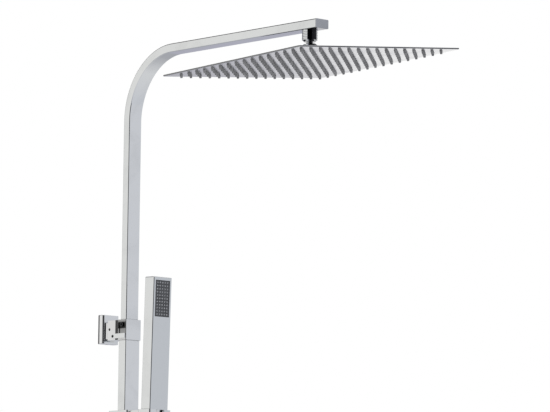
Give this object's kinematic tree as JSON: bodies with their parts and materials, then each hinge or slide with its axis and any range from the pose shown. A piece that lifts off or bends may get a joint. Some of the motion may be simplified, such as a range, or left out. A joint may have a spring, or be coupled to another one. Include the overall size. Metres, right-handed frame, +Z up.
{
  "type": "telescopic shower column",
  "caption": "Square chrome shower column with bar mixer, telescopic riser, overhead arm, ball-jointed square rain head and a stick hand shower on a sliding holder.",
  "frame": {"origin": "on the wall plane, midway between the two water inlets, at the height of the mixer bar's axis", "axes": "+Z up along the riser, +Y into the wall, -Y towards the user, +X to the user's right when facing the column"},
  "size_m": [0.3068, 0.6182, 1.0236],
  "materials": {
    "chrome_plate": "polished chrome plating",
    "steel_sheet": "polished stainless sheet",
    "brass_raw": "turned brass",
    "rubber_grey": "matt silicone rubber",
    "rubber_black": "matt rubber",
    "plastic_grey": "fine grained plastic",
    "plastic_white": "smooth plastic"
  },
  "bodies": {
    "column": {"valve_body": "chrome_plate", "inlet_union_left": "chrome_plate", "inlet_union_right": "chrome_plate", "wall_rosette_left": "chrome_plate", "wall_rosette_right": "chrome_plate", "union_nut_left": "chrome_plate", "union_nut_right": "chrome_plate", "filter_washers": "rubber_black", "check_valves": "plastic_white", "thermostatic_cartridge": "brass_raw", "flow_cartridge": "plastic_white", "hose_outlet": "chrome_plate", "riser_nipple": "brass_raw", "riser_washer": "rubber_black", "tube_foot": "chrome_plate", "lower_tube": "chrome_plate", "tube_collar": "chrome_plate", "collar_wiper": "rubber_black", "collar_lock_screw": "steel_sheet", "clamp_bar": "chrome_plate", "clamp_bar_screw": "chrome_plate", "bracket_block": "chrome_plate", "bracket_cover": "chrome_plate", "bracket_stud": "steel_sheet", "bracket_wall_plate": "steel_sheet", "grub_screws": "steel_sheet"},
    "temperature_control": {"temperature_spindle": "brass_raw", "temperature_handle": "chrome_plate", "temperature_handle_screw": "steel_sheet", "temperature_handle_cap": "chrome_plate"},
    "override": {"override_button": "chrome_plate"},
    "flow_control": {"flow_spindle": "brass_raw", "flow_handle": "chrome_plate", "flow_handle_screw": "steel_sheet", "flow_handle_cap": "chrome_plate"},
    "slider": {"slider_body": "chrome_plate", "slider_pad": "plastic_white"},
    "knob": {"slider_knob": "chrome_plate"},
    "holder": {"holder_cup": "chrome_plate", "holder_pin": "chrome_plate"},
    "handset": {"handset_body": "chrome_plate", "handset_inlet": "chrome_plate", "handset_water_tube": "plastic_white", "handset_spray_panel": "plastic_grey"},
    "upper_column": {"upper_tube": "chrome_plate", "telescope_plug": "plastic_white", "telescope_seals": "rubber_black", "arm_end_cap": "chrome_plate", "arm_nipple": "brass_raw", "swivel_nut": "chrome_plate", "swivel_washer": "rubber_black", "ball_stem": "chrome_plate"},
    "seal_ring": {"ball_seal_ring": "rubber_black"},
    "bearing_ring": {"ball_bearing_ring": "plastic_white"},
    "head": {"head_collar_nut": "chrome_plate", "head_boss": "chrome_plate", "head_top_shell": "steel_sheet", "head_spray_plate": "steel_sheet", "head_nozzle_mat": "rubber_grey"}
  },
  "joints": [
    {"name": "telescope_slide", "type": "slide", "parent": "column", "child": "upper_column", "axis": [0, 0, 1], "range_m": [-0.2, 0.12]},
    {"name": "head_side_tilt", "type": "hinge", "parent": "upper_column", "child": "seal_ring", "pos_m": [0, -0.448, 0.94845], "axis": [0, -1, 0], "range_deg": [-19.7, 8.2]},
    {"name": "head_nod", "type": "hinge", "parent": "seal_ring", "child": "bearing_ring", "pos_m": [0, -0.448, 0.94845], "axis": [0.995, 0, 0.1], "range_deg": [-12.2, 15.7]},
    {"name": "head_turn", "type": "hinge", "parent": "bearing_ring", "child": "head", "pos_m": [0, -0.448, 0.94845], "axis": [-0.1, 0.0305, 0.9945], "continuous": true},
    {"name": "temperature_turn", "type": "hinge", "parent": "column", "child": "temperature_control", "pos_m": [0.098, -0.056, 0], "axis": [1, 0, 0], "range_deg": [-45, 180]},
    {"name": "override_press", "type": "slide", "parent": "temperature_control", "child": "override", "axis": [0, 1, 0], "range_m": [0, 0.0012], "stiffness_N_per_m": 900, "springref_m": -0.003},
    {"name": "flow_turn", "type": "hinge", "parent": "column", "child": "flow_control", "pos_m": [-0.098, -0.056, 0], "axis": [1, 0, 0], "range_deg": [-90, 90]},
    {"name": "slider_slide", "type": "slide", "parent": "column", "child": "slider", "axis": [0, 0, 1], "range_m": [-0.3, 0.09]},
    {"name": "slider_knob_turn", "type": "hinge", "parent": "slider", "child": "knob", "pos_m": [0.02, -0.056, 0.429], "axis": [1, 0, 0], "range_deg": [-180, 0]},
    {"name": "holder_tilt", "type": "hinge", "parent": "slider", "child": "holder", "pos_m": [0, -0.0917, 0.4396], "axis": [1, 0, 0], "range_deg": [-8, 30]},
    {"name": "handset_lift", "type": "slide", "parent": "holder", "child": "handset", "axis": [0, -0.0262, 0.9997], "range_m": [0, 0.1]}
  ]
}
